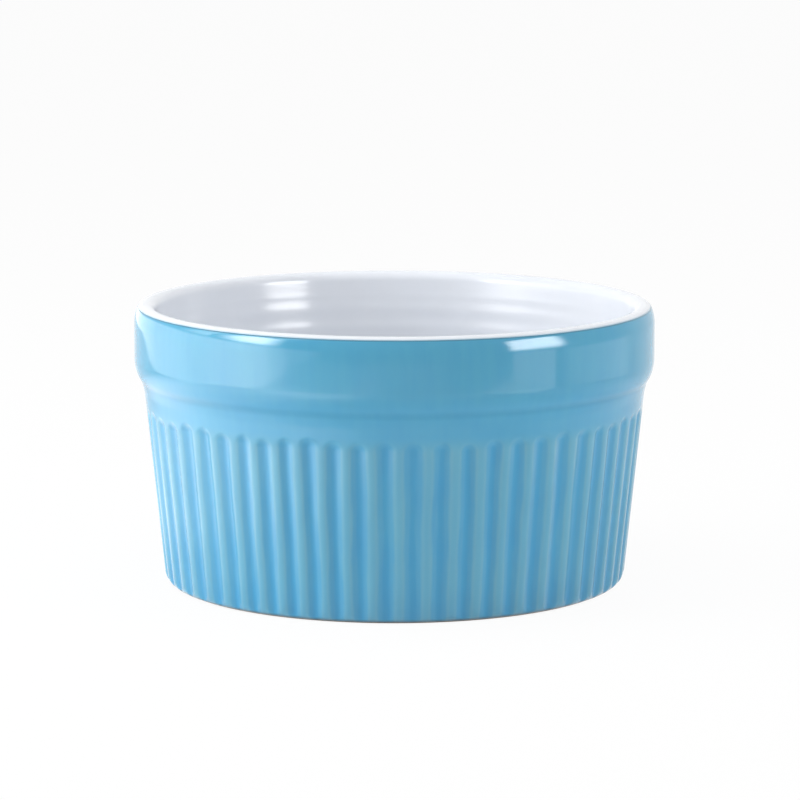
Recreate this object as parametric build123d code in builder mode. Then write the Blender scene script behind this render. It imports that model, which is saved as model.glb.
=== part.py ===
from build123d import *
import os
from math import acos, cos, degrees, radians, sin, tan

# A round ramekin of fired stoneware, glazed white inside and blue outside.
# Millimetres. The origin is the centre of the foot on the resting plane, with +Z up.
# Outside sizes are taken over the glaze, and the wall's radii at the tops of its ribs.

# Overall size
overall_height = 54.2
collar_radius = 50.0

# Collar, shoulder and neck: the upright collar steps in to the wall in two round bends.
collar_height = 10.6
shoulder_step = 1.92
shoulder_radius = 8.7
neck_hollow_radius = 8.5
wall_taper = 5.8

# Lip: the collar's top bends inwards to a lean, in degrees, before the lip's own rounding.
# The lining's white glaze comes over the lip and a little way down outside. An inner
# rounding takes at most a share of the room beside the lip's top.
lip_thickness = 3.9
collar_bend_radius = 8.0
collar_lean = 20
lip_outer_radius = 1.6
lip_inner_radius = 1.9
lip_room_share = 0.95
white_lip_height = 0.55

# Flutes: rounded grooves that end in arches under a plain band of the neck. The share is
# the rib's part of one rib and groove together.
flute_count = 60
first_rib_angle = 1.9
rib_width_share = 0.52
flute_depth = 0.62
flute_arch_height = 1.5
plain_neck_height = 1.2

# Foot: the rounded outer edge, the ring of bare clay and the hollow inside it
foot_edge_height = 2.0
foot_edge_width = 1.45
foot_edge_radius = 2.6
bare_foot_height = 0.35
foot_ring_width = 4.3
recess_depth = 1.4
recess_side_width = 0.9
recess_corner_radius = 1.0

# Cavity
floor_thickness = 3.2
floor_corner_radius = 8.0

# Glaze: the coat on smooth clay, and how much deeper it lies in the grooves
glaze_thickness = 0.2
groove_pooling = 0.15

# How far a cut runs past the face that it opens
overrun = 2.0

# Places worked out from the sizes above
wall_lean = tan(radians(wall_taper))
bend_radii = shoulder_radius + neck_hollow_radius
bend_width = shoulder_radius + neck_hollow_radius * cos(radians(wall_taper)) - shoulder_step
shoulder_turn = degrees(acos(bend_width / bend_radii))
bend_height = bend_radii * sin(radians(shoulder_turn)) - neck_hollow_radius * sin(radians(wall_taper))
collar_foot_height = overall_height - collar_height
neck_height = collar_foot_height - bend_height
flute_top_height = neck_height - plain_neck_height
lean = radians(collar_lean)
lip_top_radius = collar_radius - collar_bend_radius * (1 - cos(lean)) - lip_outer_radius * cos(lean)
seam_height = overall_height - white_lip_height
floor_height = recess_depth + floor_thickness


def wall_radius(height):
    """Radius over the ribs on the tapered wall."""
    return collar_radius - shoulder_step - (neck_height - height) * wall_lean


def cavity_radius(height):
    """Radius of the cavity's wall, which leans like the outside."""
    return collar_radius - lip_thickness - (overall_height - height) * wall_lean


def around(radius, angle):
    """A point at a radius, at an angle from the first rib."""
    return Vector(radius, 0).rotate(Axis.Z, first_rib_angle + angle)


def lip_and_bend(depth):
    """Draws the lip's outer rounding from its top, and the bend down to the upright collar."""
    lip = JernArc(
        (lip_top_radius, overall_height - depth),
        (1, 0),
        lip_outer_radius - depth,
        collar_lean - 90,
    )
    return JernArc(lip @ 1, lip % 1, collar_bend_radius - depth, -collar_lean)


def rib_row(rib_radius, depth):
    """The wall's section at one height: rounded ribs and grooves that flow together."""
    pitch = 360 / flute_count
    rib_edge = rib_width_share * pitch / 2
    flank_radius = rib_radius - depth * rib_width_share
    with BuildLine() as flute:
        rib = ThreePointArc(
            around(flank_radius, -rib_edge),
            around(rib_radius, 0),
            around(flank_radius, rib_edge),
        )
        ThreePointArc(
            rib @ 1,
            around(rib_radius - depth, pitch / 2),
            around(flank_radius, pitch - rib_edge),
        )
    with BuildSketch() as section:
        with BuildLine():
            with PolarLocations(0, flute_count):
                add(flute.line)
        make_face()
    return section.sketch


def outer_form(inset, groove_depth, low, high):
    """The outside as a solid block from low to high, drawn in by the inset."""
    with BuildPart() as form:
        # Fluted wall, and the arches where its grooves run out
        rows = (
            (low, groove_depth),
            (flute_top_height - flute_arch_height, groove_depth),
            (flute_top_height, 0),
        )
        for height, depth in rows:
            with BuildSketch(Plane.XY.offset(height)):
                add(rib_row(wall_radius(height) - inset, depth))
        loft(ruled=True)

        # Plain neck, shoulder and collar
        top = overall_height - inset
        with BuildSketch(Plane.XZ):
            with BuildLine():
                across = Line((0, top), (lip_top_radius, top))
                bend = lip_and_bend(inset)
                collar = Line(bend @ 1, (collar_radius - inset, collar_foot_height))
                shoulder = JernArc(collar @ 1, collar % 1, shoulder_radius, -shoulder_turn)
                hollow = JernArc(
                    shoulder @ 1, shoulder % 1, neck_hollow_radius, shoulder_turn - wall_taper
                )
                neck_foot = (wall_radius(flute_top_height) - inset, flute_top_height)
                Polyline(hollow @ 1, neck_foot, (0, flute_top_height), across @ 0)
            make_face()
            with Locations((0, high)):
                Rectangle(
                    2 * (collar_radius + overrun),
                    overall_height,
                    align=(Align.CENTER, Align.MIN),
                    mode=Mode.SUBTRACT,
                )
        revolve(axis=Axis.Z)

        # Rounded foot edge, where the ribs run out
        foot_edge_inner = wall_radius(0) - inset - foot_edge_width
        foot_edge_top = (wall_radius(foot_edge_height) - inset, foot_edge_height)
        with BuildSketch(Plane.XZ):
            with BuildLine():
                edge = RadiusArc((foot_edge_inner, 0), foot_edge_top, foot_edge_radius)
                run_out = Line(edge @ 1, edge @ 1 + (edge % 1) * overrun)
                Polyline(
                    run_out @ 1,
                    (collar_radius + overrun, foot_edge_height),
                    (collar_radius + overrun, -overrun),
                    (foot_edge_inner, -overrun),
                    edge @ 0,
                )
            make_face()
        revolve(axis=Axis.Z, mode=Mode.SUBTRACT)
    return form.part


def lip_inner_round(depth):
    """The rounding inside the lip, kept within the room between its top and the cavity."""
    room = (lip_top_radius - cavity_radius(overall_height)) / tan(radians(90 - wall_taper) / 2)
    return min(lip_inner_radius, lip_room_share * room) - depth


def inside_outline(depth):
    """Draws the floor, the cavity's wall, the lip and the collar, at a depth below the
    glaze's face. Gives the outline's two ends."""
    bottom = floor_height - depth
    top = overall_height - depth
    inside = FilletPolyline(
        (0, bottom),
        (cavity_radius(bottom) + depth, bottom),
        (cavity_radius(top) + depth, top),
        (lip_top_radius, top),
        radius=(floor_corner_radius + depth, lip_inner_round(depth)),
    )
    bend = lip_and_bend(depth)
    collar = Line(bend @ 1, (collar_radius - depth, collar_foot_height))
    return inside @ 0, collar @ 1


def recess_outline(depth):
    """Draws the hollow under the foot, at a depth below the glaze's face."""
    recess_radius = wall_radius(0) - foot_edge_width - foot_ring_width
    return FilletPolyline(
        (0, recess_depth + depth),
        (recess_radius - recess_side_width + depth, recess_depth + depth),
        (recess_radius + depth, 0),
        radius=recess_corner_radius + depth,
    )


clay_form = outer_form(
    glaze_thickness, flute_depth + groove_pooling, 0, overall_height
)

with BuildPart() as stoneware_body:
    add(clay_form)
    with BuildSketch(Plane.XZ):
        # Cavity, with its mouth flaring out over the lip's inner rounding
        with BuildLine():
            floor_centre, collar_foot = inside_outline(glaze_thickness)
            above = overall_height + overrun
            outside = collar_radius + overrun
            Polyline(
                collar_foot,
                (outside, collar_foot_height),
                (outside, above),
                (0, above),
                floor_centre,
            )
        make_face()
        # Hollow under the foot
        with BuildLine():
            under = recess_outline(glaze_thickness)
            Polyline(under @ 1, (0, 0), under @ 0)
        make_face()
    revolve(axis=Axis.Z, mode=Mode.SUBTRACT)

with BuildPart() as blue_outer_glaze:
    add(outer_form(0, flute_depth, bare_foot_height, seam_height))
    add(clay_form, mode=Mode.SUBTRACT)

with BuildPart() as white_inner_glaze:
    with BuildSketch(Plane.XZ):
        with BuildLine():
            face_centre, face_foot = inside_outline(0)
            back_centre, back_foot = inside_outline(glaze_thickness)
            Line(face_centre, back_centre)
            Line(face_foot, back_foot)
        make_face()
        # Outside the lip the coat stops at its seam with the blue one
        with Locations((collar_radius + overrun, seam_height)):
            Rectangle(
                collar_radius - lip_top_radius + overrun,
                collar_height + overrun,
                align=(Align.MAX, Align.MAX),
                mode=Mode.SUBTRACT,
            )
    revolve(axis=Axis.Z)

with BuildPart() as white_base_glaze:
    with BuildSketch(Plane.XZ):
        with BuildLine():
            face = recess_outline(0)
            back = recess_outline(glaze_thickness)
            Line(face @ 0, back @ 0)
            Line(face @ 1, back @ 1)
        make_face()
        # The coat stops above the bare ring
        Rectangle(2 * collar_radius, 2 * bare_foot_height, mode=Mode.SUBTRACT)
    revolve(axis=Axis.Z)

stoneware_body.part.label = "stoneware_body"
blue_outer_glaze.part.label = "blue_outer_glaze"
white_inner_glaze.part.label = "white_inner_glaze"
white_base_glaze.part.label = "white_base_glaze"

os.makedirs("parts", exist_ok=True)
export_step(stoneware_body.part, "parts/stoneware_body.step")
export_step(blue_outer_glaze.part, "parts/blue_outer_glaze.step")
export_step(white_inner_glaze.part, "parts/white_inner_glaze.step")
export_step(white_base_glaze.part, "parts/white_base_glaze.step")
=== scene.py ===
import random
from math import acos, asin, atan2, cos, degrees, exp, pi, radians, sin, sqrt, tan

import bmesh
import bpy
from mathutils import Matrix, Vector


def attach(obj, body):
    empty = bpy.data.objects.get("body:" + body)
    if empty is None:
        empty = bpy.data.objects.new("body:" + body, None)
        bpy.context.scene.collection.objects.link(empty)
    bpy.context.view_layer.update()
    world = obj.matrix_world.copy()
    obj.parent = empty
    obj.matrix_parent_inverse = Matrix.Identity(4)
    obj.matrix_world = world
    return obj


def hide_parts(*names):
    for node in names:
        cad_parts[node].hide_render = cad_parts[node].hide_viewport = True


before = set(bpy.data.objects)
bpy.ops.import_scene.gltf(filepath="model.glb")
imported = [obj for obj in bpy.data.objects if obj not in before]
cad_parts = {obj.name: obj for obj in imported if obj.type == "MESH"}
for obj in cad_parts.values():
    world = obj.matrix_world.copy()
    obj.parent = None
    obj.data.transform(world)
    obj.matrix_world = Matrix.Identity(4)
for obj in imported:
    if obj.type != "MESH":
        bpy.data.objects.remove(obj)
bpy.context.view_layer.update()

MM = 0.001
BODY = "root"

# Sizes of the dish over its glaze, in metres
OVERALL_HEIGHT = 54.2 * MM
COLLAR_RADIUS = 50.0 * MM
COLLAR_HEIGHT = 10.6 * MM
SHOULDER_STEP = 1.92 * MM
SHOULDER_RADIUS = 8.7 * MM
NECK_HOLLOW_RADIUS = 8.5 * MM
WALL_TAPER = radians(5.8)
LIP_THICKNESS = 3.9 * MM
COLLAR_BEND_RADIUS = 8.0 * MM
COLLAR_LEAN = radians(20)
LIP_OUTER_RADIUS = 1.6 * MM
LIP_INNER_RADIUS = 1.9 * MM
WHITE_LIP_HEIGHT = 0.55 * MM
FLUTE_COUNT = 60
FIRST_RIB_ANGLE = radians(1.9)
FLUTE_DEPTH = 0.62 * MM
PLAIN_NECK_HEIGHT = 1.2 * MM
FOOT_EDGE_HEIGHT = 2.0 * MM
FOOT_EDGE_WIDTH = 1.45 * MM
FOOT_EDGE_RADIUS = 2.6 * MM
BARE_FOOT_HEIGHT = 0.35 * MM
FOOT_RING_WIDTH = 4.3 * MM
RECESS_DEPTH = 1.4 * MM
RECESS_SIDE_WIDTH = 0.9 * MM
RECESS_CORNER_RADIUS = 1.0 * MM
FLOOR_THICKNESS = 3.2 * MM
FLOOR_CORNER_RADIUS = 8.0 * MM
GLAZE_THICKNESS = 0.2 * MM
GROOVE_POOLING = 0.15 * MM

# Rounded ribs and grooves flow together. The flats on both are shares of half a flute.
GROOVE_FLAT_SHARE = 0.05
RIB_FLAT_SHARE = 0.10

# They were cut into the mould by hand: the ribs wander a little, in degrees, from a share
# of the height upwards. The grooves differ in width, end at different heights and fade out
# in soft arches. The foot edge blends into them.
RIB_WANDER = 0.11
WANDER_FULL_SHARE = 0.2
GROOVE_WIDTH_CHANGE = 0.09
ARCH_FADE = 2.3 * MM
ARCH_DROP = 0.7 * MM
FOOT_BLEND = 0.25 * MM
HAND_SEED = 11

# The ribs don't stand quite evenly round the wall. Each row is an azimuth, a width and an
# amount, in degrees.
SPACING_DRIFTS = (
    (-42.0, 19.0, 2.0),
    (-5.0, 11.0, -0.7),
    (30.0, 9.0, -0.4),
    (48.0, 7.0, 0.5),
    (112.0, 24.0, 1.3),
    (170.0, 15.0, -0.9),
    (-118.0, 17.0, -1.0),
)
MEAN_DRIFT = -0.3

# A soft crease runs round the foot of the shoulder.
CREASE_HEIGHT = 39.2 * MM
CREASE_WIDTH = 0.75 * MM
CREASE_DEPTH = 0.09 * MM

# The rim sank a little towards the front as the dish dried, and the wheel left faint rings
# inside.
RIM_SINK_MEAN = 0.30 * MM
RIM_SINK_FRONT = 0.30 * MM
RIM_SINK_RIGHT = 0.07 * MM
RIM_SINK_FOOT = 44.0 * MM
RIM_SINK_FULL = 51.5 * MM
RING_FOOT = 12.0 * MM

# The rings, in millimetres: height, width and depth, each on the left and on the right
RINGS = (
    (49.75, 49.2, 0.4, 0.8, 0.012, 0.018),
    (47.1, 46.2, 1.2, 1.2, 0.042, 0.058),
    (43.2, 42.7, 1.1, 1.2, 0.062, 0.080),
    (38.6, 37.8, 1.6, 1.6, 0.035, 0.035),
    (34.0, 33.2, 1.8, 1.8, 0.035, 0.035),
    (29.4, 28.8, 1.8, 1.8, 0.030, 0.030),
    (24.6, 24.0, 1.8, 1.8, 0.030, 0.030),
    (19.6, 19.0, 1.8, 1.8, 0.025, 0.025),
)

# How finely the turned surfaces are divided: columns within one flute, rows up the outline
# of a face, and how many times fewer rows a hidden back has
STEPS_PER_FLUTE = 14
CLAY_STEPS = 10
PLAIN_STEPS = 6
FOOT_ROWS = 8
FOOT_ROW_CROWDING = 1.2
WALL_ROWS = 6
ARCH_ROWS = 18
BEND_ROWS = 12
COLLAR_ROWS = 4
COLLAR_BEND_ROWS = 6
SEAM_ROWS = 4
FLOOR_ROWS = 24
FLOOR_CORNER_ROWS = 15
CAVITY_ROWS = 130
LIP_INNER_ROWS = 12
LIP_OUTER_ROWS = 9
RECESS_CORNER_ROWS = 8
OUTSIDE_BACK = 2
INSIDE_BACK = 3
WELD = 0.002 * MM

# Places worked out from the sizes above
WALL_LEAN = tan(WALL_TAPER)
BEND_RADII = SHOULDER_RADIUS + NECK_HOLLOW_RADIUS
SHOULDER_TURN = acos(
    (SHOULDER_RADIUS + NECK_HOLLOW_RADIUS * cos(WALL_TAPER) - SHOULDER_STEP) / BEND_RADII
)
COLLAR_FOOT = OVERALL_HEIGHT - COLLAR_HEIGHT
NECK_HEIGHT = COLLAR_FOOT - BEND_RADII * sin(SHOULDER_TURN) + NECK_HOLLOW_RADIUS * sin(WALL_TAPER)
FLUTE_TOP = NECK_HEIGHT - PLAIN_NECK_HEIGHT
SEAM_HEIGHT = OVERALL_HEIGHT - WHITE_LIP_HEIGHT
LIP_CENTRE = (
    COLLAR_RADIUS - COLLAR_BEND_RADIUS + (COLLAR_BEND_RADIUS - LIP_OUTER_RADIUS) * cos(COLLAR_LEAN),
    OVERALL_HEIGHT - LIP_OUTER_RADIUS,
)
BEND_CENTRE = (
    COLLAR_RADIUS - COLLAR_BEND_RADIUS,
    LIP_CENTRE[1] - (COLLAR_BEND_RADIUS - LIP_OUTER_RADIUS) * sin(COLLAR_LEAN),
)
FLOOR_HEIGHT = RECESS_DEPTH + FLOOR_THICKNESS


def wall_radius(height):
    """Radius over the ribs on the tapered wall."""
    return COLLAR_RADIUS - SHOULDER_STEP - (NECK_HEIGHT - height) * WALL_LEAN


def cavity_radius(height):
    """Radius of the cavity's leaning wall."""
    return COLLAR_RADIUS - LIP_THICKNESS - (OVERALL_HEIGHT - height) * WALL_LEAN


def smooth_step(low, high, value):
    """0 below low, 1 above high, with a soft ramp between."""
    share = min(max((value - low) / (high - low), 0.0), 1.0)
    return share * share * (3.0 - 2.0 * share)


def seam_angle(depth):
    """Where the seam lies on the lip's outer rounding."""
    return asin((SEAM_HEIGHT - LIP_CENTRE[1]) / (LIP_OUTER_RADIUS - depth))


# Outlines are lists of (radius, height) points

def arc(centre, radius, start, end, steps):
    """Points of an arc, by angles from the outward direction."""
    turn = (end - start) / steps
    return [
        (centre[0] + radius * cos(start + turn * i), centre[1] + radius * sin(start + turn * i))
        for i in range(steps + 1)
    ]


def run(start, end, steps):
    """Points between two ends, without the ends."""
    return [
        (
            start[0] + (end[0] - start[0]) * i / steps,
            start[1] + (end[1] - start[1]) * i / steps,
        )
        for i in range(1, steps)
    ]


def foot_edge_at(height, inset):
    """Radius of the rounded foot edge at a height."""
    inner = (wall_radius(0.0) - FOOT_EDGE_WIDTH - inset, 0.0)
    outer = (wall_radius(FOOT_EDGE_HEIGHT) - inset, FOOT_EDGE_HEIGHT)
    half = ((outer[0] - inner[0]) / 2, (outer[1] - inner[1]) / 2)
    chord = sqrt(half[0] ** 2 + half[1] ** 2)
    reach = sqrt(FOOT_EDGE_RADIUS ** 2 - chord ** 2)
    centre = (
        inner[0] + half[0] - half[1] / chord * reach,
        inner[1] + half[1] + half[0] / chord * reach,
    )
    return centre[0] + sqrt(max(FOOT_EDGE_RADIUS ** 2 - (height - centre[1]) ** 2, 0.0))


def outside_outline(inset, low, coarse):
    """The outside from low to the seam: wall over the ribs, neck, shoulder, collar and lip."""
    points = []
    foot_rows = FOOT_ROWS // coarse
    for i in range(foot_rows + 1):
        height = low + (FOOT_EDGE_HEIGHT - low) * (i / foot_rows) ** FOOT_ROW_CROWDING
        points.append((min(wall_radius(height) - inset, foot_edge_at(height, inset)), height))
    arch_foot = FLUTE_TOP - ARCH_FADE - ARCH_DROP
    points += run(points[-1], (wall_radius(arch_foot) - inset, arch_foot), WALL_ROWS // coarse)
    arch_rows = ARCH_ROWS // coarse
    for i in range(arch_rows + 1):
        height = arch_foot + (FLUTE_TOP - arch_foot) * i / arch_rows
        points.append((wall_radius(height) - inset, height))
    points += run(points[-1], (wall_radius(NECK_HEIGHT) - inset, NECK_HEIGHT), 2)
    hollow_centre = (
        wall_radius(NECK_HEIGHT) - inset + NECK_HOLLOW_RADIUS * cos(WALL_TAPER),
        NECK_HEIGHT - NECK_HOLLOW_RADIUS * sin(WALL_TAPER),
    )
    bend_rows = BEND_ROWS // coarse
    points += arc(hollow_centre, NECK_HOLLOW_RADIUS, pi - WALL_TAPER, pi - SHOULDER_TURN, bend_rows)
    shoulder_centre = (COLLAR_RADIUS - inset - SHOULDER_RADIUS, COLLAR_FOOT)
    points += arc(shoulder_centre, SHOULDER_RADIUS, -SHOULDER_TURN, 0.0, bend_rows)[1:]
    points += run(points[-1], (COLLAR_RADIUS - inset, BEND_CENTRE[1]), COLLAR_ROWS // coarse)
    collar_bend_rows = COLLAR_BEND_ROWS // coarse
    points += arc(BEND_CENTRE, COLLAR_BEND_RADIUS - inset, 0.0, COLLAR_LEAN, collar_bend_rows)
    lip_radius = LIP_OUTER_RADIUS - inset
    points += arc(LIP_CENTRE, lip_radius, COLLAR_LEAN, seam_angle(inset), SEAM_ROWS)[1:]
    return points


def inside_outline(depth, coarse):
    """The cavity and lip, from the axis outwards and over the lip to the seam."""
    bottom = FLOOR_HEIGHT - depth
    top = OVERALL_HEIGHT - depth
    corner = FLOOR_CORNER_RADIUS + depth
    back_off = tan((pi / 2 - WALL_TAPER) / 2)
    corner_x = cavity_radius(bottom) + depth - corner * back_off
    points = [(0.0, bottom)] + run((0.0, bottom), (corner_x, bottom), FLOOR_ROWS // coarse)
    corner_rows = FLOOR_CORNER_ROWS // coarse
    points += arc((corner_x, bottom + corner), corner, -pi / 2, -WALL_TAPER, corner_rows)
    lip_round = LIP_INNER_RADIUS - depth
    lip_x = cavity_radius(top) + depth + lip_round * back_off
    wall_top = (lip_x - lip_round * cos(WALL_TAPER), top - lip_round + lip_round * sin(WALL_TAPER))
    points += run(points[-1], wall_top, CAVITY_ROWS // coarse)
    inner_rows = LIP_INNER_ROWS // coarse
    points += arc((lip_x, top - lip_round), lip_round, pi - WALL_TAPER, pi / 2, inner_rows)
    points += run(points[-1], (LIP_CENTRE[0], top), 3)
    outer_rows = LIP_OUTER_ROWS // coarse
    points += arc(LIP_CENTRE, LIP_OUTER_RADIUS - depth, pi / 2, seam_angle(depth), outer_rows)
    return points


def recess_outline(depth, low):
    """The hollow under the foot, from the axis outwards and down to a height."""
    recess_radius = wall_radius(0.0) - FOOT_EDGE_WIDTH - FOOT_RING_WIDTH
    top = RECESS_DEPTH + depth
    side = atan2(top, RECESS_SIDE_WIDTH)
    corner = RECESS_CORNER_RADIUS + depth
    corner_x = recess_radius - RECESS_SIDE_WIDTH + depth
    back_off = corner * tan(side / 2)
    points = [(0.0, top)] + run((0.0, top), (corner_x - back_off, top), FLOOR_ROWS)
    corner_centre = (corner_x - back_off, top - corner)
    points += arc(corner_centre, corner, pi / 2, pi / 2 - side, RECESS_CORNER_ROWS)
    foot_x = recess_radius + depth - low / tan(side)
    points += run(points[-1], (foot_x, low), 3) + [(foot_x, low)]
    return points


# Meshes

hand = random.Random(HAND_SEED)
DROPS = [hand.random() for _ in range(FLUTE_COUNT)]
WIDTHS = [hand.uniform(-1.0, 1.0) for _ in range(FLUTE_COUNT)]


def rib_drift(azimuth):
    """How far the ribs near an azimuth stand off an even spacing, in radians."""
    drift = MEAN_DRIFT
    for place, width, amount in SPACING_DRIFTS:
        turn = degrees(azimuth) - place
        turn -= 360.0 * round(turn / 360.0)
        drift += amount * exp(-((turn / width) ** 2))
    return radians(drift)


def rib_phase(azimuth, height):
    """Place across a rib and groove: 0 on the rib, half a turn in the groove."""
    climb = height / OVERALL_HEIGHT
    wander = sin(17.0 * azimuth + 9.0 * climb) + 0.7 * sin(-29.0 * azimuth + 21.0 * climb + 1.0)
    fade = smooth_step(0.0, WANDER_FULL_SHARE, climb) * radians(RIB_WANDER)
    return (azimuth - rib_drift(azimuth) - wander * fade - FIRST_RIB_ANGLE) * FLUTE_COUNT


def azimuth_of(co):
    """Turn about the axis from the front, growing to the right."""
    return atan2(co.x, -co.y)


def groove_distance(phase, height):
    """Distance from the groove's middle, in half widths of a flute, round its arched top.
    It is 1 on the rib and grows to 2 over the plain neck."""
    if height > FLUTE_TOP:
        return 1.0 + min((height - FLUTE_TOP) / PLAIN_NECK_HEIGHT, 1.0)
    flute = int(phase // (2.0 * pi)) % FLUTE_COUNT
    across = 1.0 - abs((phase / pi + 1.0) % 2.0 - 1.0)
    across *= 1.0 + GROOVE_WIDTH_CHANGE * WIDTHS[flute] * (1.0 - across)
    arch_foot = FLUTE_TOP - ARCH_FADE - ARCH_DROP * DROPS[flute]
    rise = max((height - arch_foot) / ARCH_FADE, 0.0)
    return min(sqrt(across ** 2 + rise ** 2), 1.0)


def sink_share(distance):
    """How deep the wall lies between the top of the rib, 0, and the groove, 1."""
    return 1.0 - smooth_step(GROOVE_FLAT_SHARE, 1.0 - RIB_FLAT_SHARE, distance)


def turned(outline, steps):
    """A closed or open outline of (radius, height, depth) turned full circle about the axis."""
    bm = bmesh.new()
    depths = bm.verts.layers.float.new("depth")
    row = []
    for radius, height, depth in outline:
        vert = bm.verts.new((0.0, -radius, height))
        vert[depths] = depth
        row.append(vert)
    edges = [bm.edges.new(pair) for pair in zip(row, row[1:])]
    if outline[0][0] > 0.0 or outline[-1][0] > 0.0:
        edges.append(bm.edges.new((row[-1], row[0])))
    pitch = 2.0 * pi / FLUTE_COUNT
    turn = {"cent": (0.0, 0.0, 0.0), "axis": (0.0, 0.0, 1.0), "dvec": (0.0, 0.0, 0.0)}
    bmesh.ops.spin(bm, geom=row + edges, angle=pitch, steps=steps, **turn)
    bmesh.ops.spin(
        bm,
        geom=bm.verts[:] + bm.edges[:] + bm.faces[:],
        angle=pitch * (FLUTE_COUNT - 1),
        steps=FLUTE_COUNT - 1,
        use_duplicate=True,
        **turn,
    )
    bmesh.ops.remove_doubles(bm, verts=bm.verts, dist=WELD)
    bmesh.ops.recalc_face_normals(bm, faces=bm.faces)
    return bm


def finished(bm, name, node, material):
    """Makes the smooth piece that stands for its CAD node."""
    mesh = bpy.data.meshes.new(name)
    bm.to_mesh(mesh)
    bm.free()
    for polygon in mesh.polygons:
        polygon.use_smooth = True
    mesh.materials.append(material)
    piece = bpy.data.objects.new(name, mesh)
    bpy.context.scene.collection.objects.link(piece)
    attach(piece, BODY)
    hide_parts(node)
    return piece


def soft_min(a, b, blend):
    """The lesser of two lengths, rounded where they cross."""
    share = max(blend - abs(a - b), 0.0) / blend
    return min(a, b) - share * share * blend / 4.0


def cut_flutes(bm, on_wall=None):
    """Sinks the grooves into the turned wall and runs them out on the rounded foot edge.
    Where a piece has other faces too, on_wall picks the wall by radius and height."""
    depths = bm.verts.layers.float["depth"]
    for vert in bm.verts:
        height = vert.co.z
        inset = vert[depths]
        radius = sqrt(vert.co.x ** 2 + vert.co.y ** 2)
        if height > FLUTE_TOP or (on_wall and not on_wall(radius, height)):
            continue
        depth = FLUTE_DEPTH + (GROOVE_POOLING if inset > 0.0 else 0.0)
        phase = rib_phase(azimuth_of(vert.co), height)
        sink = depth * sink_share(groove_distance(phase, height))
        fluted = wall_radius(height) - inset - sink
        if height < FOOT_EDGE_HEIGHT:
            fluted = soft_min(fluted, foot_edge_at(height, inset), FOOT_BLEND)
        vert.co.x *= fluted / radius
        vert.co.y *= fluted / radius


def press_crease(bm):
    """Presses the crease into the coat's face."""
    depths = bm.verts.layers.float["depth"]
    for vert in bm.verts:
        if vert[depths] > 0.0:
            continue
        radius = sqrt(vert.co.x ** 2 + vert.co.y ** 2)
        pressed = CREASE_DEPTH * exp(-(((vert.co.z - CREASE_HEIGHT) / CREASE_WIDTH) ** 2))
        vert.co.x *= 1.0 - pressed / radius
        vert.co.y *= 1.0 - pressed / radius


def sink_rim(bm):
    """Lets the rim down by the amounts named above, without moving the back of the rim."""
    for vert in bm.verts:
        turn = azimuth_of(vert.co)
        sink = RIM_SINK_MEAN + RIM_SINK_FRONT * cos(turn) + RIM_SINK_RIGHT * sin(turn)
        vert.co.z -= max(sink, 0.0) * smooth_step(RIM_SINK_FOOT, RIM_SINK_FULL, vert.co.z)


def ring_depth(height, azimuth):
    """How far the turning rings stand into the cavity at a place on its wall."""
    to_right = 0.5 + 0.5 * sin(azimuth)
    depth = 0.0
    for left, right, width_left, width_right, depth_left, depth_right in RINGS:
        middle = left + (right - left) * to_right
        width = width_left + (width_right - width_left) * to_right
        ridge = depth_left + (depth_right - depth_left) * to_right
        depth += ridge * exp(-(((height / MM - middle) / width) ** 2))
    return depth * MM


def ring_wall(bm):
    """Leaves faint turning rings on the face of the cavity's wall."""
    depths = bm.verts.layers.float["depth"]
    for vert in bm.verts:
        radius = sqrt(vert.co.x ** 2 + vert.co.y ** 2)
        if vert[depths] > 0.0 or vert.co.z < RING_FOOT or radius > LIP_CENTRE[0]:
            continue
        moved = radius - ring_depth(vert.co.z, azimuth_of(vert.co))
        vert.co.x *= moved / radius
        vert.co.y *= moved / radius


def tagged(points, depth):
    """Outline points with their depth below the glaze's face."""
    return [(radius, height, depth) for radius, height in points]


# Materials

def new_material(name):
    """A node material and what its nodes are made with."""
    material = bpy.data.materials.new(name)
    material.use_nodes = True
    nodes = material.node_tree.nodes
    return material, nodes, material.node_tree.links, nodes["Principled BSDF"]


def new_group(name, inputs, output):
    """An empty node group with named number inputs, a vector input and one output."""
    group = bpy.data.node_groups.new(name, "ShaderNodeTree")
    group.interface.new_socket("Vector", in_out="INPUT", socket_type="NodeSocketVector")
    for label, value in inputs:
        socket = group.interface.new_socket(label, in_out="INPUT", socket_type="NodeSocketFloat")
        socket.default_value = value
    group.interface.new_socket(output, in_out="OUTPUT", socket_type="NodeSocketFloat")
    nodes = group.nodes
    return group, nodes, group.links, nodes.new("NodeGroupInput"), nodes.new("NodeGroupOutput")


def math_node(nodes, links, operation, first, second):
    """A Math node on two sockets or numbers."""
    node = nodes.new("ShaderNodeMath")
    node.operation = operation
    for socket, value in zip(node.inputs, (first, second)):
        if isinstance(value, (int, float)):
            socket.default_value = value
        else:
            links.new(value, socket)
    return node.outputs[0]


def map_range(nodes, links, value, low, high, to_low=0.0, to_high=1.0, soft=True):
    """A clamped Map Range node from low and high to new ends."""
    node = nodes.new("ShaderNodeMapRange")
    node.interpolation_type = "SMOOTHSTEP" if soft else "LINEAR"
    links.new(value, node.inputs["Value"])
    node.inputs["From Min"].default_value = low
    node.inputs["From Max"].default_value = high
    node.inputs["To Min"].default_value = to_low
    node.inputs["To Max"].default_value = to_high
    return node.outputs[0]


def colour_mix(nodes, links, factor, first, second, blend="MIX"):
    """A colour Mix node on sockets or (r, g, b) colours."""
    node = nodes.new("ShaderNodeMix")
    node.data_type = "RGBA"
    node.blend_type = blend
    for socket, value in zip((node.inputs[0], node.inputs[6], node.inputs[7]), (factor, first, second)):
        if isinstance(value, float):
            socket.default_value = value
        elif isinstance(value, tuple):
            socket.default_value = (*value, 1.0)
        else:
            links.new(value, socket)
    return node.outputs[2]


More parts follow.
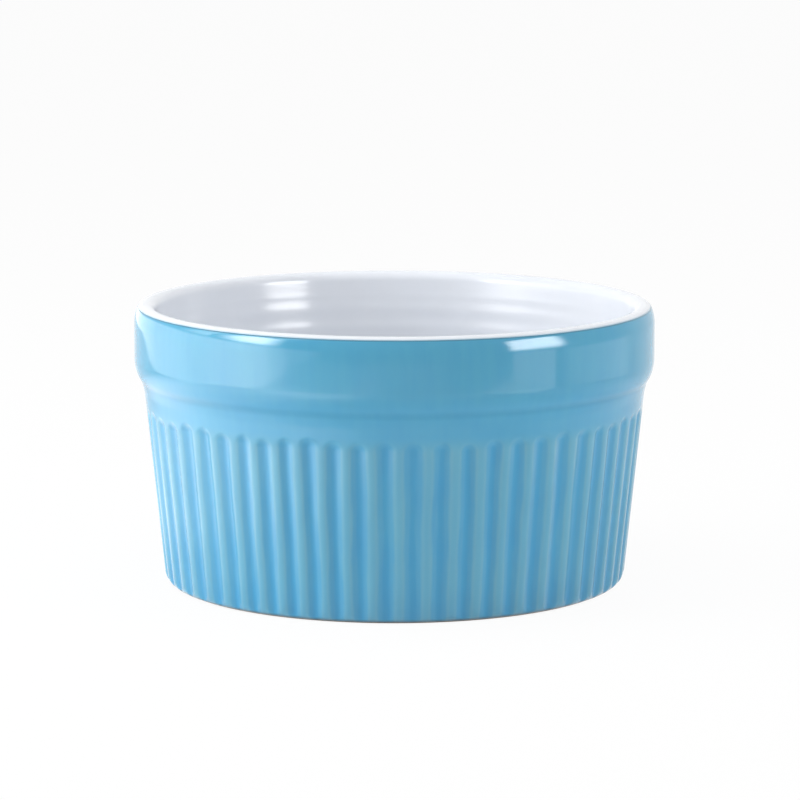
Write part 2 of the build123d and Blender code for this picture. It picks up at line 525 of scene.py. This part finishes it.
def colour_ramp(nodes, links, value, stops):
    """A Color Ramp with (place, colour) stops."""
    node = nodes.new("ShaderNodeValToRGB")
    ramp = node.color_ramp
    ramp.interpolation = "EASE"
    ramp.elements.remove(ramp.elements[1])
    for i, (place, colour) in enumerate(stops):
        element = ramp.elements[0] if i == 0 else ramp.elements.new(place)
        element.position = place
        element.color = (*colour, 1.0)
    links.new(value, node.inputs[0])
    return node.outputs[0]


def make_flow_group():
    """Uneven flow of a glaze or a body: 0 to 1 in soft patches, drawn out along the wall."""
    inputs = (("Scale", 200.0), ("Drawn Out", 1.0), ("Detail", 2.0))
    group, nodes, links, given, out = new_group("uneven_flow", inputs, "Mask")
    stretch = nodes.new("ShaderNodeCombineXYZ")
    stretch.inputs["X"].default_value = 1.0
    stretch.inputs["Y"].default_value = 1.0
    links.new(given.outputs["Drawn Out"], stretch.inputs["Z"])
    place = nodes.new("ShaderNodeVectorMath")
    place.operation = "MULTIPLY"
    links.new(given.outputs["Vector"], place.inputs[0])
    links.new(stretch.outputs[0], place.inputs[1])
    noise = nodes.new("ShaderNodeTexNoise")
    links.new(place.outputs[0], noise.inputs["Vector"])
    links.new(given.outputs["Scale"], noise.inputs["Scale"])
    links.new(given.outputs["Detail"], noise.inputs["Detail"])
    mask = map_range(nodes, links, noise.outputs["Fac"], 0.25, 0.75, soft=False)
    links.new(mask, out.inputs["Mask"])
    return group


def make_skin_group():
    """Relief of a glaze's skin: a slight roll and a few pinholes, 0 to about 1."""
    inputs = (("Roll Scale", 160.0), ("Pinhole Scale", 900.0), ("Pinhole Depth", 1.0))
    group, nodes, links, given, out = new_group("glaze_skin", inputs, "Height")
    roll = nodes.new("ShaderNodeTexNoise")
    roll.inputs["Detail"].default_value = 1.5
    links.new(given.outputs["Vector"], roll.inputs["Vector"])
    links.new(given.outputs["Roll Scale"], roll.inputs["Scale"])
    cells = nodes.new("ShaderNodeTexVoronoi")
    links.new(given.outputs["Vector"], cells.inputs["Vector"])
    links.new(given.outputs["Pinhole Scale"], cells.inputs["Scale"])
    near = map_range(nodes, links, cells.outputs["Distance"], 0.0, 0.22, 1.0, 0.0)
    choice = nodes.new("ShaderNodeSeparateColor")
    links.new(cells.outputs["Color"], choice.inputs[0])
    rare = math_node(nodes, links, "GREATER_THAN", choice.outputs[0], 0.985)
    pit = math_node(nodes, links, "MULTIPLY", near, rare)
    pit = math_node(nodes, links, "MULTIPLY", pit, given.outputs["Pinhole Depth"])
    height = math_node(nodes, links, "SUBTRACT", roll.outputs["Fac"], pit)
    links.new(height, out.inputs["Height"])
    return group


def placed(nodes, links, group, vector, **values):
    """A node group in a material, with its own values."""
    node = nodes.new("ShaderNodeGroup")
    node.node_tree = group
    links.new(vector, node.inputs["Vector"])
    for label, value in values.items():
        node.inputs[label.replace("_", " ")].default_value = value
    return node.outputs[0]


def relief(nodes, links, shader, height, distance):
    """Bumps the shader's normal by a height over a distance in metres."""
    bump = nodes.new("ShaderNodeBump")
    bump.inputs["Strength"].default_value = 1.0
    bump.inputs["Distance"].default_value = distance
    links.new(height, bump.inputs["Height"])
    links.new(bump.outputs[0], shader.inputs["Normal"])


# Colours of the blue glaze by its depth: pooled in the grooves, thin on the ribs and
# thinnest beside their tops. Then a lighter neck blue, painted light standing in for light
# bounced up under the collar; the plain collar's blue; a darker crease blue, painted shade;
# and the glaze's edges at the lip and foot, the foot's partly thin glaze and partly painted
# contact shade.
POOLED_BLUE = (0.056, 0.350, 0.600)
FLANK_BLUE = (0.085, 0.375, 0.595)
EDGE_BLUE = (0.136, 0.416, 0.572)
CREASE_SHADE_BLUE = (0.062, 0.345, 0.555)
RIB_BLUE = (0.125, 0.410, 0.575)
NECK_LIT_BLUE = (0.080, 0.385, 0.610)
PLAIN_BLUE = (0.066, 0.360, 0.560)
SEAM_BLUE = (0.045, 0.190, 0.290)
LIP_EDGE_BLUE = (0.300, 0.520, 0.640)

# Where the blue changes: over the arches into the neck's painted light, up the shoulder, off
# the crease's painted shade, below the lip's seam, in millimetres, and above the foot, where
# contact shade is partly painted
NECK_LIGHT_FADE = (FLUTE_TOP - 3.4 * MM, FLUTE_TOP + 0.2 * MM)
COLLAR_FADE = (39.5 * MM, 44.0 * MM)
CREASE_SHADE_FADE = (0.1 * MM, 1.1 * MM)
SEAM_FADE = (0.05, 0.32)
FOOT_SHADE_FADE = (0.4 * MM, 0.95 * MM)
STREAK_SHIFT = 0.08

# The white glaze where it is thin and thick, how far the blue shows through its edge, in
# millimetres, and the bare clay with its grit and a darker grey under the glaze's edge, partly a
# glaze stain and partly painted contact shade
THIN_WHITE = (0.765, 0.796, 0.850)
THICK_WHITE = (0.790, 0.816, 0.862)
LIP_EDGE_REACH = 0.30
DARK_CLAY = (0.50, 0.44, 0.36)
PALE_CLAY = (0.66, 0.60, 0.51)
GRIT = (0.24, 0.18, 0.12)
CLAY_STAIN_AND_SHADE = (0.10, 0.135, 0.145)
STAIN_AND_SHADE_FADE = (0.02 * MM, 0.25 * MM)
GLAZE_RELIEF = 0.02 * MM
CLAY_RELIEF = 0.03 * MM
GLAZE_IOR = 1.5
# Partly painted shade: the blue just above the foot, partly thin glaze at its edge and partly a painted
# contact shadow.
FOOT_EDGE_AND_SHADE_BLUE = (0.060, 0.170, 0.225)


def blue_glaze(flow, skin):
    """Clear blue gloss that shows its depth, with painted light on the neck and painted shade at the crease
    and above the foot.
    """
    material, nodes, links, shader = new_material("blue_glaze")
    place = nodes.new("ShaderNodeTexCoord").outputs["Object"]
    streaks = placed(nodes, links, flow, place, Scale=620.0, Drawn_Out=0.12, Detail=2.0)
    clouds = placed(nodes, links, flow, place, Scale=140.0, Drawn_Out=0.6, Detail=3.0)
    groove = nodes.new("ShaderNodeAttribute")
    groove.attribute_name = "from_groove"
    shift = map_range(nodes, links, streaks, 0.0, 1.0, -STREAK_SHIFT, STREAK_SHIFT, soft=False)
    depth = math_node(nodes, links, "ADD", groove.outputs["Fac"], shift)
    depth = math_node(nodes, links, "MULTIPLY", depth, 0.5)
    stops = (
        (0.0, POOLED_BLUE),
        (0.04, POOLED_BLUE),
        (0.22, FLANK_BLUE),
        (0.36, EDGE_BLUE),
        (0.46, RIB_BLUE),
        (0.51, RIB_BLUE),
        (0.66, NECK_LIT_BLUE),
    )
    colour = colour_ramp(nodes, links, depth, stops)
    height = nodes.new("ShaderNodeSeparateXYZ")
    links.new(place, height.inputs[0])
    # Painted light: the neck under the collar turns a lighter blue, standing in for light bounced up into
    # it.
    on_lit_neck = map_range(nodes, links, height.outputs["Z"], *NECK_LIGHT_FADE)
    colour = colour_mix(nodes, links, on_lit_neck, colour, NECK_LIT_BLUE)
    # Painted shade: a darker band of blue along the crease at the foot of the shoulder.
    above_crease = math_node(nodes, links, "SUBTRACT", height.outputs["Z"], CREASE_HEIGHT)
    off_crease = math_node(nodes, links, "ABSOLUTE", above_crease, 0.0)
    in_crease_shade = map_range(nodes, links, off_crease, *CREASE_SHADE_FADE, 1.0, 0.0)
    colour = colour_mix(nodes, links, in_crease_shade, colour, CREASE_SHADE_BLUE)
    on_collar = map_range(nodes, links, height.outputs["Z"], *COLLAR_FADE)
    colour = colour_mix(nodes, links, on_collar, colour, PLAIN_BLUE)
    tint = colour_mix(nodes, links, clouds, (0.93, 0.97, 1.0), (1.07, 1.03, 1.0))
    colour = colour_mix(nodes, links, 1.0, colour, tint, "MULTIPLY")
    fleck = colour_mix(nodes, links, streaks, (0.95, 0.98, 1.0), (1.05, 1.02, 1.0))
    colour = colour_mix(nodes, links, 1.0, colour, fleck, "MULTIPLY")
    seam = nodes.new("ShaderNodeAttribute")
    seam.attribute_name = "below_seam"
    at_seam = map_range(nodes, links, seam.outputs["Fac"], *SEAM_FADE, 0.85, 0.0)
    colour = colour_mix(nodes, links, at_seam, colour, SEAM_BLUE)
    # Partly painted shade: the blue darkens just above the foot, partly thin glaze at its edge and partly a
    # painted contact shadow.
    at_foot_edge_and_shade = map_range(nodes, links, height.outputs["Z"], *FOOT_SHADE_FADE, 0.9, 0.0)
    colour = colour_mix(nodes, links, at_foot_edge_and_shade, colour, FOOT_EDGE_AND_SHADE_BLUE)
    links.new(colour, shader.inputs["Base Color"])
    links.new(map_range(nodes, links, clouds, 0.0, 1.0, 0.06, 0.11), shader.inputs["Roughness"])
    shader.inputs["IOR"].default_value = GLAZE_IOR
    surface = placed(nodes, links, skin, place, Roll_Scale=170.0, Pinhole_Scale=700.0, Pinhole_Depth=1.4)
    relief(nodes, links, shader, surface, GLAZE_RELIEF)
    return material


def white_glaze(flow, skin):
    """Cool white gloss, with the blue showing through its edge at the seam."""
    material, nodes, links, shader = new_material("white_glaze")
    place = nodes.new("ShaderNodeTexCoord").outputs["Object"]
    clouds = placed(nodes, links, flow, place, Scale=90.0, Drawn_Out=0.7, Detail=3.0)
    colour = colour_mix(nodes, links, clouds, THIN_WHITE, THICK_WHITE)
    edge = nodes.new("ShaderNodeAttribute")
    edge.attribute_name = "above_seam"
    at_edge = map_range(nodes, links, edge.outputs["Fac"], 0.0, LIP_EDGE_REACH, 0.85, 0.0)
    colour = colour_mix(nodes, links, at_edge, colour, LIP_EDGE_BLUE)
    links.new(colour, shader.inputs["Base Color"])
    links.new(map_range(nodes, links, clouds, 0.0, 1.0, 0.13, 0.18), shader.inputs["Roughness"])
    shader.inputs["IOR"].default_value = GLAZE_IOR
    surface = placed(nodes, links, skin, place, Roll_Scale=110.0, Pinhole_Scale=500.0, Pinhole_Depth=1.2)
    relief(nodes, links, shader, surface, GLAZE_RELIEF)
    return material


def bare_clay(flow):
    """Unglazed fired clay, gritty, and darker grey under the glaze's edge, partly a glaze stain and partly
    painted contact shade.
    """
    material, nodes, links, shader = new_material("bare_stoneware")
    place = nodes.new("ShaderNodeTexCoord").outputs["Object"]
    patches = placed(nodes, links, flow, place, Scale=220.0, Drawn_Out=1.0, Detail=4.0)
    grit = placed(nodes, links, flow, place, Scale=2600.0, Drawn_Out=1.0, Detail=2.0)
    colour = colour_mix(nodes, links, patches, DARK_CLAY, PALE_CLAY)
    speck = map_range(nodes, links, grit, 0.80, 0.92)
    colour = colour_mix(nodes, links, speck, colour, GRIT)
    height = nodes.new("ShaderNodeSeparateXYZ")
    links.new(place, height.inputs[0])
    # The clay darkens to grey under the glaze's edge, partly a glaze stain and partly a painted contact
    # shadow.
    stain_and_shade = map_range(nodes, links, height.outputs["Z"], *STAIN_AND_SHADE_FADE, 0.0, 0.9)
    colour = colour_mix(nodes, links, stain_and_shade, colour, CLAY_STAIN_AND_SHADE)
    links.new(colour, shader.inputs["Base Color"])
    shader.inputs["Roughness"].default_value = 0.85
    relief(nodes, links, shader, grit, CLAY_RELIEF)
    return material


# Pieces

# What a face that is nowhere near the seam has as its height above it, in millimetres
OFF_SEAM = 1.0


def make_blue_coat(material):
    """The blue coat, with what its glaze reads: the place in a groove and below the seam."""
    face = outside_outline(0.0, BARE_FOOT_HEIGHT, 1)
    back = outside_outline(GLAZE_THICKNESS, BARE_FOOT_HEIGHT, OUTSIDE_BACK)
    bm = turned(tagged(face, 0.0) + tagged(back[::-1], GLAZE_THICKNESS), STEPS_PER_FLUTE)
    cut_flutes(bm)
    press_crease(bm)
    from_groove = bm.verts.layers.float.new("from_groove")
    below_seam = bm.verts.layers.float.new("below_seam")
    for vert in bm.verts:
        phase = rib_phase(azimuth_of(vert.co), vert.co.z)
        vert[from_groove] = groove_distance(phase, vert.co.z)
        vert[below_seam] = (SEAM_HEIGHT - vert.co.z) / MM
    sink_rim(bm)
    return finished(bm, "blue_coat", "blue_outer_glaze", material)


def make_lining(material):
    """The white lining with its lip, and how far above the seam its edge lies."""
    face = inside_outline(0.0, 1)
    back = inside_outline(GLAZE_THICKNESS, INSIDE_BACK)
    bm = turned(tagged(face, 0.0) + tagged(back[::-1], GLAZE_THICKNESS), PLAIN_STEPS)
    ring_wall(bm)
    above_seam = bm.verts.layers.float.new("above_seam")
    for vert in bm.verts:
        outside = sqrt(vert.co.x ** 2 + vert.co.y ** 2) > LIP_CENTRE[0]
        vert[above_seam] = (vert.co.z - SEAM_HEIGHT) / MM if outside else OFF_SEAM
    sink_rim(bm)
    return finished(bm, "white_lining", "white_inner_glaze", material)


def make_base_coat(material):
    """The white coat in the hollow under the foot."""
    face = recess_outline(0.0, BARE_FOOT_HEIGHT)
    back = recess_outline(GLAZE_THICKNESS, BARE_FOOT_HEIGHT)
    bm = turned(tagged(face, 0.0) + tagged(back[::-1], GLAZE_THICKNESS), PLAIN_STEPS)
    above_seam = bm.verts.layers.float.new("above_seam")
    for vert in bm.verts:
        vert[above_seam] = OFF_SEAM
    return finished(bm, "base_coat", "white_base_glaze", material)


def make_clay(material):
    """The clay between the coats, bare at the foot ring."""
    under = recess_outline(GLAZE_THICKNESS, 0.0)
    outside = outside_outline(GLAZE_THICKNESS, 0.0, OUTSIDE_BACK)
    inside = inside_outline(GLAZE_THICKNESS, INSIDE_BACK)
    bm = turned(tagged(under + outside + inside[::-1], GLAZE_THICKNESS), CLAY_STEPS)

    def on_wall(radius, height):
        return height > 0.0 and radius > cavity_radius(height) + LIP_THICKNESS / 3

    cut_flutes(bm, on_wall)
    sink_rim(bm)
    return finished(bm, "clay", "stoneware_body", material)


# Stage

def facing(place, target):
    """The turn that points a lamp at its target, with its long side level."""
    direction = Vector(target) - Vector(place)
    return direction.to_track_quat("-Z", "Y").to_euler()


UPWARD = (pi, 0.0, 0.0)


def feathered(data, feather, falloff):
    """Fades the lamp's edges, and gives it a falloff along its length."""
    data.use_nodes = True
    nodes, links = data.node_tree.nodes, data.node_tree.links
    across = nodes.new("ShaderNodeSeparateXYZ")
    links.new(nodes.new("ShaderNodeNewGeometry").outputs["Parametric"], across.inputs[0])
    level = None
    for axis, share in zip("XY", feather):
        if share == 0.0:
            continue
        for start, full in ((0.0, share), (1.0, 1.0 - share)):
            fade = map_range(nodes, links, across.outputs[axis], start, full)
            level = fade if level is None else math_node(nodes, links, "MULTIPLY", level, fade)
    if falloff:
        stops = [(place, (value, value, value)) for place, value in falloff]
        drop = colour_ramp(nodes, links, across.outputs["X"], stops)
        level = drop if level is None else math_node(nodes, links, "MULTIPLY", level, drop)
    links.new(level, nodes["Emission"].inputs["Strength"])


def panel(name, place, turn, size, radiance, seen="both", feather=(0.0, 0.0), falloff=()):
    """A soft panel of a given radiance. Seen in gloss alone it stands for a bright stretch of
    the studio, and seen in matt alone for its light."""
    data = bpy.data.lights.new(name, "AREA")
    data.shape = "RECTANGLE"
    data.size = size[0]
    data.size_y = size[1]
    data.energy = radiance * 4.0 * size[0] * size[1]
    if feather != (0.0, 0.0) or falloff:
        feathered(data, feather, falloff)
    lamp = bpy.data.objects.new(name, data)
    bpy.context.scene.collection.objects.link(lamp)
    lamp.location = place
    lamp.rotation_euler = turn
    lamp.visible_camera = False
    lamp.visible_diffuse = seen != "gloss"
    lamp.visible_glossy = seen != "matt"
    return lamp


DISH_MIDDLE = (0.0, 0.0, 0.035)

# How far off the dish's axis the upright panels stand, and how they are turned. Along its
# length a left panel's falloff runs from the back forwards, and an upward one's to the right.
SIDE = 0.26
LEFT_SIDE = (pi / 2, 0.0, -pi / 2)
RIGHT_SIDE = (pi / 2, 0.0, pi / 2)


def make_lamps():
    """Softboxes left, right and above, with the bright stretches of the studio round them that
    the glaze mirrors."""
    low_left = (-0.56, -0.15, 0.185)
    low_right = (0.56, -0.15, 0.185)
    high_left = (-0.38, 0.0, 0.48)
    high_glow = (-0.39, -0.22, 0.56)
    above = (0.0, 0.0, 0.66)
    panel("left_softbox", low_left, facing(low_left, DISH_MIDDLE), (0.35, 0.30), 3.95, "matt")
    panel("right_softbox", low_right, facing(low_right, DISH_MIDDLE), (0.30, 0.30), 2.5, "matt")
    panel("high_softbox", high_left, facing(high_left, DISH_MIDDLE), (0.40, 0.35), 2.1, "matt")
    panel("top_fill", above, facing(above, DISH_MIDDLE), (0.45, 0.45), 1.55, "matt")

    panel("left_band", (-SIDE, 0.275, 0.045), LEFT_SIDE, (1.45, 0.13), 3.5, "gloss",
          feather=(0.0, 0.12),
          falloff=((0.0, 0.5), (0.241, 0.36), (0.461, 0.26), (0.575, 0.31), (0.689, 0.65),
                   (0.742, 0.9), (0.780, 1.0), (0.814, 0.95), (0.848, 0.6), (0.894, 0.25),
                   (1.0, 0.12)))
    panel("left_box", (-SIDE, -0.145, 0.19), LEFT_SIDE, (0.22, 0.22), 12.5, "gloss",
          feather=(0.45, 0.32))
    panel("left_box_glow", (-SIDE, -0.10, 0.17), LEFT_SIDE, (0.36, 0.14), 3.0, "gloss",
          feather=(0.3, 0.1))
    panel("high_left_glow", high_glow, facing(high_glow, DISH_MIDDLE), (0.30, 0.30), 1.4, "gloss",
          feather=(0.2, 0.2))
    panel("right_box", (SIDE, -0.160, 0.132), RIGHT_SIDE, (0.186, 0.18), 9.5, "gloss",
          feather=(0.2, 0.28))
    panel("right_box_foot", (SIDE, -0.166, 0.020), RIGHT_SIDE, (0.130, 0.08), 1.0, "gloss",
          feather=(0.07, 0.1))
    panel("right_front_glow", (0.195, -0.165, 0.0008), UPWARD, (0.13, 0.17), 0.9, "gloss",
          feather=(0.15, 0.2))
    panel("right_band", (SIDE, 0.02, 0.01), RIGHT_SIDE, (0.26, 0.08), 0.45, "gloss",
          feather=(0.25, 0.25))
    panel("right_floor_glow", (0.18, -0.04, 0.0006), UPWARD, (0.16, 0.30), 0.2, "gloss",
          feather=(0.2, 0.25))
    panel("left_floor_glow", (-0.145, -0.07, 0.0006), UPWARD, (0.23, 0.44), 2.0, "gloss",
          feather=(0.0, 0.35), falloff=((0.0, 1.0), (0.5, 0.9), (0.75, 0.6), (0.9, 0.2), (1.0, 0.0)))
    panel("front_left_glow", (-0.16, -0.24, 0.0005), UPWARD, (0.30, 0.30), 0.4, "gloss",
          feather=(0.2, 0.2))
    panel("front_glow", (0.02, -0.27, 0.0004), UPWARD, (0.30, 0.36), 0.25, "gloss",
          feather=(0.3, 0.2))


def background_mask(nodes, links):
    """1 for rays from the camera, and for mirrored and refracted ones."""
    path = nodes.new("ShaderNodeLightPath")
    first = math_node(nodes, links, "MAXIMUM", path.outputs["Is Camera Ray"], path.outputs["Is Glossy Ray"])
    return math_node(nodes, links, "MAXIMUM", first, path.outputs["Is Transmission Ray"])


AMBIENT = 0.44
FLOOR_SIZE = 3.0
FLOOR_WHITE_SHARE = 0.95
FLOOR_COLOUR = (0.9, 0.9, 0.9, 1.0)


def make_world():
    """White to the eye, and a plain soft light on the dish."""
    world = bpy.data.worlds.new("studio")
    bpy.context.scene.world = world
    world.use_nodes = True
    nodes, links = world.node_tree.nodes, world.node_tree.links
    background = nodes["Background"]
    background.inputs["Color"].default_value = (1.0, 1.0, 1.0, 1.0)
    mask = background_mask(nodes, links)
    strength = map_range(nodes, links, mask, 0.0, 1.0, AMBIENT, 1.0, soft=False)
    links.new(strength, background.inputs["Strength"])


def make_floor():
    """A white floor that keeps the dish's faint shadow."""
    bm = bmesh.new()
    bmesh.ops.create_grid(bm, x_segments=1, y_segments=1, size=FLOOR_SIZE)
    mesh = bpy.data.meshes.new("floor")
    bm.to_mesh(mesh)
    bm.free()
    floor_piece = bpy.data.objects.new("floor", mesh)
    bpy.context.scene.collection.objects.link(floor_piece)
    material = bpy.data.materials.new("floor_white")
    material.use_nodes = True
    nodes, links = material.node_tree.nodes, material.node_tree.links
    nodes.clear()
    out = nodes.new("ShaderNodeOutputMaterial")
    diffuse = nodes.new("ShaderNodeBsdfDiffuse")
    diffuse.inputs["Color"].default_value = FLOOR_COLOUR
    glow = nodes.new("ShaderNodeEmission")
    glow.inputs["Strength"].default_value = 1.0
    mix = nodes.new("ShaderNodeMixShader")
    mask = background_mask(nodes, links)
    links.new(math_node(nodes, links, "MULTIPLY", mask, FLOOR_WHITE_SHARE), mix.inputs[0])
    links.new(diffuse.outputs[0], mix.inputs[1])
    links.new(glow.outputs[0], mix.inputs[2])
    links.new(mix.outputs[0], out.inputs["Surface"])
    mesh.materials.append(material)


CAMERA_DISTANCE = 0.68554
CAMERA_HEIGHT = 0.14128
CAMERA_PITCH = 0.15424
FOCAL_PIXELS = 3590.6
OBJECT_LEFT_PIXELS = 5.5
IMAGE_PIXELS = 800
SENSOR_WIDTH = 36.0


def make_camera():
    """The photograph's view, level from side to side."""
    data = bpy.data.cameras.new("camera")
    data.sensor_width = SENSOR_WIDTH
    data.lens = FOCAL_PIXELS * SENSOR_WIDTH / IMAGE_PIXELS
    data.shift_x = OBJECT_LEFT_PIXELS / IMAGE_PIXELS
    camera = bpy.data.objects.new("camera", data)
    bpy.context.scene.collection.objects.link(camera)
    camera.location = (0.0, -CAMERA_DISTANCE, CAMERA_HEIGHT)
    camera.rotation_euler = (pi / 2 - CAMERA_PITCH, 0.0, 0.0)
    bpy.context.scene.camera = camera


bpy.context.scene.view_settings.view_transform = "Standard"
make_camera()
make_world()
make_floor()
make_lamps()

flow = make_flow_group()
skin = make_skin_group()
blue = blue_glaze(flow, skin)
white = white_glaze(flow, skin)
make_blue_coat(blue)
make_lining(white)
make_base_coat(white)
make_clay(bare_clay(flow))
